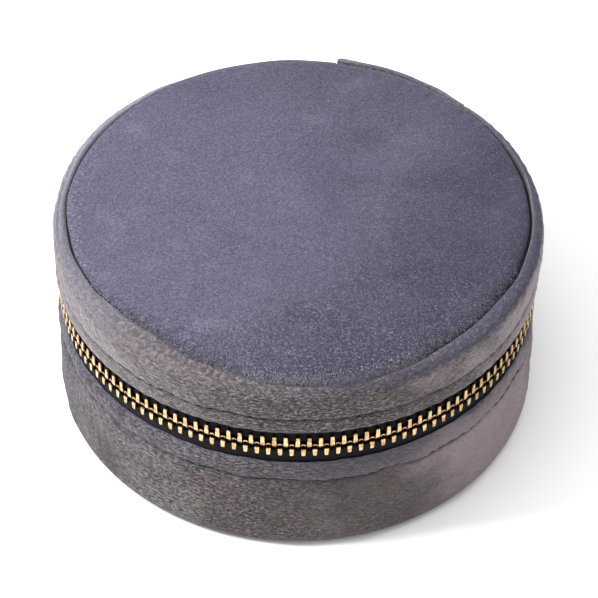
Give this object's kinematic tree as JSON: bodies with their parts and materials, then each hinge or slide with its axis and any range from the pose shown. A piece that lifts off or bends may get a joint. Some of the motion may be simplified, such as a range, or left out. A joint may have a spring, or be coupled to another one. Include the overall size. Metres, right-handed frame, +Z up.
{
  "type": "travel jewelry case",
  "caption": "Round velvet travel jewelry case with a padded hinged lid, a metal zip round the side, ring rolls, divided compartments and a mirror in the lid.",
  "frame": {"origin": "centre of the underside, on the surface the case stands on", "axes": "+Z up through the lid; +Y towards the fabric hinge, -Y towards the front of the zip; +X to the right seen from the front"},
  "size_m": [0.106, 0.106, 0.0494],
  "materials": {
    "velvet": "matte",
    "velvet_underside": "matte",
    "lining": "matte",
    "tape": "matte",
    "brass": "polished",
    "board": "matte",
    "foam": "matte",
    "mirror": "gloss"
  },
  "bodies": {
    "base": {"base_side_cover": "velvet", "base_bottom_cover": "velvet_underside", "base_bottom_board": "board", "base_wall_board": "board", "base_collar": "board", "base_lining": "lining", "base_floor_pad": "lining", "ring_roll_1": "lining", "ring_roll_2": "lining", "ring_roll_3": "lining", "divider_long": "lining", "divider_left": "lining", "divider_right": "lining", "zipper_tape_lower": "tape", "zipper_teeth_lower": "brass", "zipper_top_stop_lower": "brass", "zipper_bottom_stop": "brass", "hinge_panel": "velvet", "hinge_lining": "lining"},
    "lid": {"lid_side_cover": "velvet", "lid_top_cover": "velvet", "lid_top_foam": "foam", "lid_top_board": "board", "lid_wall_board": "board", "lid_lining_wall": "lining", "lid_lining_panel": "lining", "lid_mirror": "mirror", "zipper_tape_upper": "tape", "zipper_teeth_upper": "brass", "zipper_top_stop_upper": "brass"},
    "slider": {"slider_body": "brass", "slider_bridge": "brass"},
    "pull_link": {"pull_link": "brass"},
    "pull_tab": {"pull_tab": "brass"}
  },
  "joints": [
    {"name": "lid_hinge", "type": "hinge", "parent": "base", "child": "lid", "pos_m": [0, 0.052, 0.0313], "axis": [-1, 0, 0], "range_deg": [0, 110], "deforming": ["hinge_panel", "hinge_lining", "zipper_tape_upper", "zipper_teeth_upper", "zipper_tape_lower", "zipper_teeth_lower"]},
    {"name": "slider_travel", "type": "hinge", "parent": "base", "child": "slider", "pos_m": [0, 0, 0.0313], "axis": [0, 0, 1], "range_deg": [0, 304], "deforming": ["zipper_tape_upper", "zipper_teeth_upper", "zipper_tape_lower", "zipper_teeth_lower"]},
    {"name": "link_swing", "type": "hinge", "parent": "slider", "child": "pull_link", "pos_m": [-0.02755, 0.04661, 0.0313], "axis": [-0.4571, 0.8894, 0], "range_deg": [-50, 230]},
    {"name": "tab_lift", "type": "hinge", "parent": "pull_link", "child": "pull_tab", "pos_m": [-0.02774, 0.04697, 0.0238], "axis": [0.8894, 0.4571, 0], "range_deg": [0, 120]}
  ]
}
